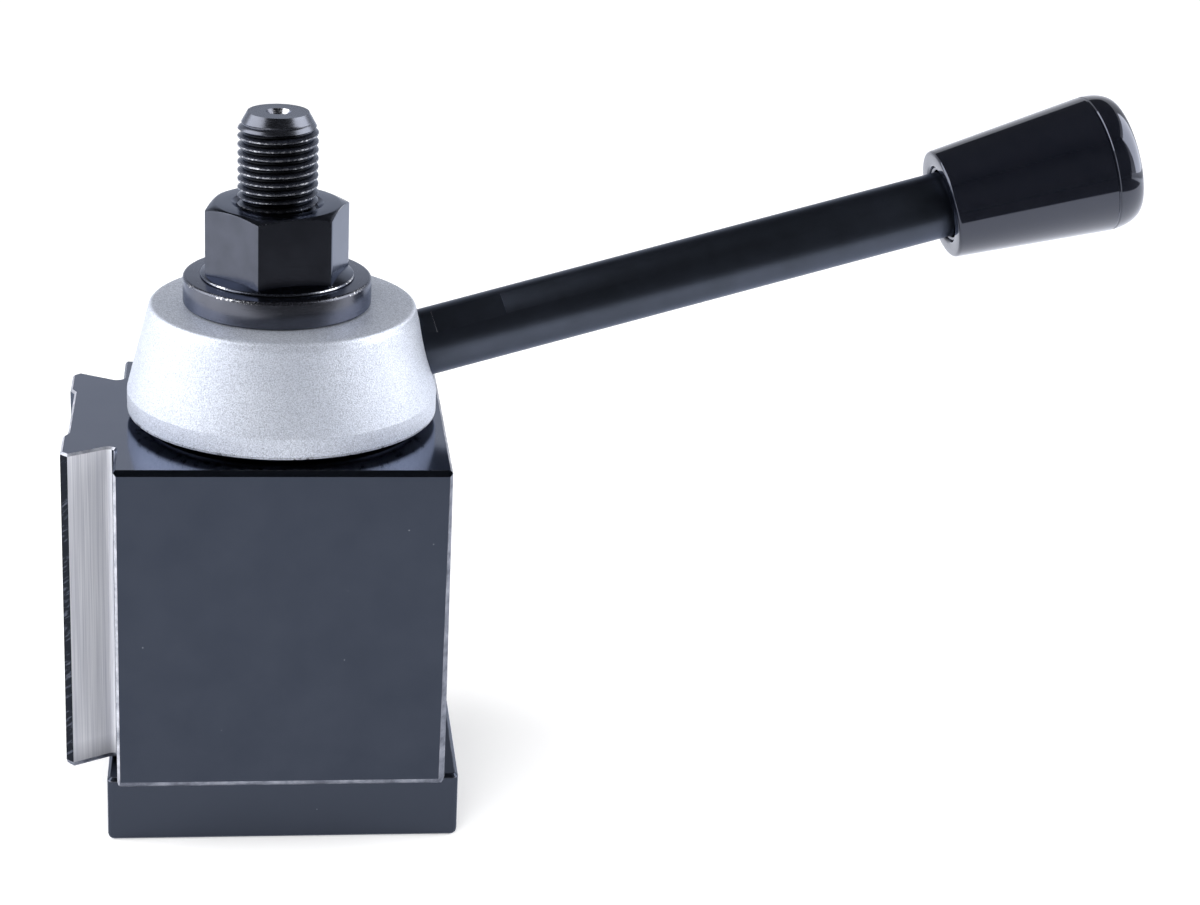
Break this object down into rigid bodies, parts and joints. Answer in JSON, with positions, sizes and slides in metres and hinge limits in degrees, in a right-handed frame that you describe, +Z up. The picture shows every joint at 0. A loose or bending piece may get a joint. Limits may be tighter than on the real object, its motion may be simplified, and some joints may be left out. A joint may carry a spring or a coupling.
{
  "type": "lathe tool post",
  "caption": "Quick-change lathe tool post: square block with a dovetail on two sides, conical cam collar with a raised handle and knob, and a clamp nut on a central stud.",
  "frame": {"origin": "on the block's upright centre line, in the underside of the mounting plate", "axes": "+Z up, parallel to the stud, the two dovetails face -X and +Y, the handle rises towards +X"},
  "size_m": [0.1928, 0.0662, 0.1283],
  "materials": {
    "plate_steel": "black oxide",
    "stud_steel": "black oxide thread",
    "block_steel": "black oxide, dovetail flanks ground bright",
    "sleeve_steel": "ground",
    "pin_steel": "ground",
    "thrust_bronze": "turned bronze",
    "thrust_ring_steel": "black oxide",
    "cam_steel": "hardened and ground",
    "snap_ring_steel": "black oxide spring steel",
    "collar_steel": "bead-blasted satin chrome",
    "rod_steel": "black oxide",
    "knob_phenolic": "gloss black",
    "insert_brass": "turned",
    "washer_steel": "black oxide",
    "nut_steel": "black oxide",
    "piston_steel": "hardened and ground",
    "bush_steel": "black oxide",
    "spring_steel": "drawn wire"
  },
  "bodies": {
    "base": {"mounting_plate": "plate_steel", "clamp_stud": "stud_steel"},
    "post": {"post_block": "block_steel", "centre_sleeve": "sleeve_steel", "sleeve_pin": "pin_steel", "lower_thrust_washer": "thrust_bronze", "upper_thrust_ring": "thrust_ring_steel", "snap_ring": "snap_ring_steel", "left_guide_bush": "bush_steel", "back_guide_bush": "bush_steel", "left_return_spring": "spring_steel", "back_return_spring": "spring_steel"},
    "cam": {"cam_sleeve": "cam_steel", "collar": "collar_steel", "drive_pin_front": "pin_steel", "drive_pin_back": "pin_steel", "handle_rod": "rod_steel", "knob": "knob_phenolic", "knob_insert": "insert_brass"},
    "left_piston": {"left_piston": "piston_steel"},
    "back_piston": {"back_piston": "piston_steel"},
    "washer": {"clamp_washer": "washer_steel"},
    "nut": {"clamp_nut": "nut_steel"}
  },
  "joints": [
    {"name": "post_swivel", "type": "hinge", "parent": "base", "child": "post", "pos_m": [-0.001, 0, 0.04205], "axis": [0, 0, 1], "continuous": true},
    {"name": "handle_turn", "type": "hinge", "parent": "post", "child": "cam", "pos_m": [0, 0, 0.04205], "axis": [0, 0, -1], "range_deg": [0, 65]},
    {"name": "left_piston_slide", "type": "slide", "parent": "post", "child": "left_piston", "axis": [-1, 0, 0], "range_m": [0, 0.0015], "deforming": ["left_return_spring"]},
    {"name": "back_piston_slide", "type": "slide", "parent": "post", "child": "back_piston", "axis": [0, 1, 0], "range_m": [0, 0.0015], "deforming": ["back_return_spring"]},
    {"name": "washer_lift", "type": "slide", "parent": "base", "child": "washer", "axis": [0, 0, 1], "range_m": [0, 0.012]},
    {"name": "nut_turn", "type": "hinge", "parent": "washer", "child": "nut", "pos_m": [-0.001, 0, 0.09784], "axis": [0, 0, 1], "range_deg": [0, 2880]}
  ],
  "couplings": [
    {"joint": "left_piston_slide", "follows": "handle_turn", "m_per_rad": 0.0013222},
    {"joint": "back_piston_slide", "follows": "handle_turn", "m_per_rad": 0.0013222},
    {"joint": "washer_lift", "follows": "nut_turn", "m_per_rad": 0.00023873}
  ]
}
